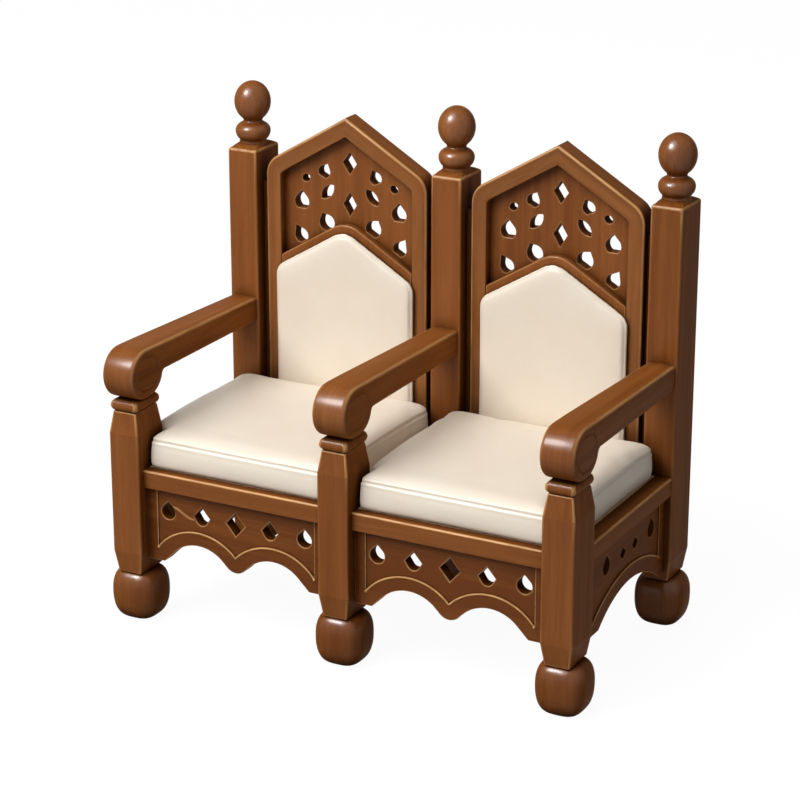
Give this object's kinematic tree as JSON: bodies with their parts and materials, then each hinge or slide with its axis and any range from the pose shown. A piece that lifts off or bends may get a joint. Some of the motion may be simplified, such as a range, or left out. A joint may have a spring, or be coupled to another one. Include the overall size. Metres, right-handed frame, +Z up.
{
  "type": "elijah chair",
  "caption": "Ceremonial double armchair: turned feet and finials, rolled arms, pierced pointed backs, arched aprons and pale leather seat and back pads.",
  "frame": {"origin": "on the floor, under the middle of the whole chair's box", "axes": "+Z up; the front looks along -Y; +X runs along the row of posts, to the viewer's right when the chair is seen from the front; left and right in the node names are the viewer's"},
  "size_m": [1.328, 0.7369, 1.289],
  "materials": {
    "polished_wood": "satin lacquer over mid-brown stained hardwood, lighter along worn edges",
    "plain_wood": "unfinished beech, inside the seat frame",
    "plywood": "sanded plywood, under the cushions",
    "seat_leather": "smooth cream leather with a fine grain and a soft sheen",
    "back_leather": "smooth cream leather with a fine grain and a soft sheen",
    "steel": "zinc-plated fixings and glides"
  },
  "bodies": {
    "root": {"rear_post_left": "polished_wood", "rear_post_centre": "polished_wood", "rear_post_right": "polished_wood", "front_post_left": "polished_wood", "front_post_centre": "polished_wood", "front_post_right": "polished_wood", "rear_foot_left": "polished_wood", "rear_foot_centre": "polished_wood", "rear_foot_right": "polished_wood", "front_foot_left": "polished_wood", "front_foot_centre": "polished_wood", "front_foot_right": "polished_wood", "finial_left": "polished_wood", "finial_centre": "polished_wood", "finial_right": "polished_wood", "armrest_left": "polished_wood", "armrest_centre": "polished_wood", "armrest_right": "polished_wood", "front_rail_left": "polished_wood", "front_rail_right": "polished_wood", "rear_rail_left": "polished_wood", "rear_rail_right": "polished_wood", "side_rail_left": "polished_wood", "side_rail_centre": "polished_wood", "side_rail_right": "polished_wood", "front_apron_left": "polished_wood", "front_apron_right": "polished_wood", "side_apron_left": "polished_wood", "side_apron_right": "polished_wood", "seat_deck_left": "plywood", "seat_deck_right": "plywood", "seat_cushion_left": "seat_leather", "seat_cushion_right": "seat_leather", "back_stile_left_outer": "polished_wood", "back_stile_left_inner": "polished_wood", "back_stile_right_inner": "polished_wood", "back_stile_right_outer": "polished_wood", "back_head_left_outer": "polished_wood", "back_head_left_inner": "polished_wood", "back_head_right_inner": "polished_wood", "back_head_right_outer": "polished_wood", "back_sill_left": "polished_wood", "back_sill_right": "polished_wood", "back_panel_left": "polished_wood", "back_panel_right": "polished_wood", "pad_board_left": "polished_wood", "pad_board_right": "polished_wood", "back_pad_left": "back_leather", "back_pad_right": "back_leather", "back_fillet_left_outer": "polished_wood", "back_fillet_left_inner": "polished_wood", "back_fillet_right_inner": "polished_wood", "back_fillet_right_outer": "polished_wood", "corner_blocks": "plain_wood", "frame_screws": "steel", "apron_dowels": "plain_wood", "arm_dowels": "plain_wood", "foot_studs": "steel", "foot_glides": "steel"}
  },
  "joints": []
}
